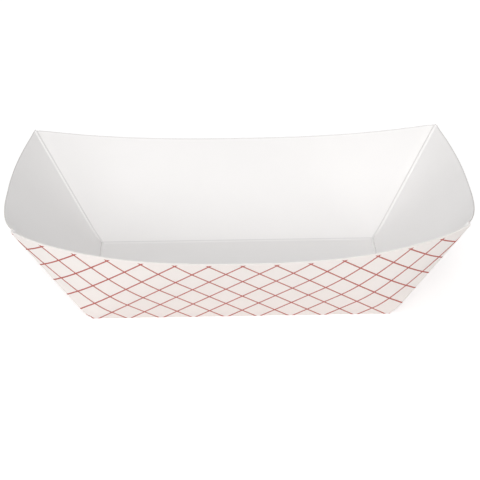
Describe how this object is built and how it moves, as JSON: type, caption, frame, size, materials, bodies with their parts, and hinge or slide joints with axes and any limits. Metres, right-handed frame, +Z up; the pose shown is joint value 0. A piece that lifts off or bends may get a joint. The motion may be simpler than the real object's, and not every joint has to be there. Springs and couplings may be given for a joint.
{
  "type": "paper food tray",
  "caption": "Open rectangular paperboard food tray with flared walls, curled corners and folded corner gussets.",
  "frame": {"origin": "centre of the underside of the floor", "axes": "+Z up through the open mouth, +X along the long side, -Y towards the front long wall"},
  "size_m": [0.1758, 0.1322, 0.0432],
  "materials": {
    "tray": "semi-matt coated board, white inside, red diamond lattice printed outside"
  },
  "bodies": {
    "root": {"tray": "tray"}
  },
  "joints": []
}
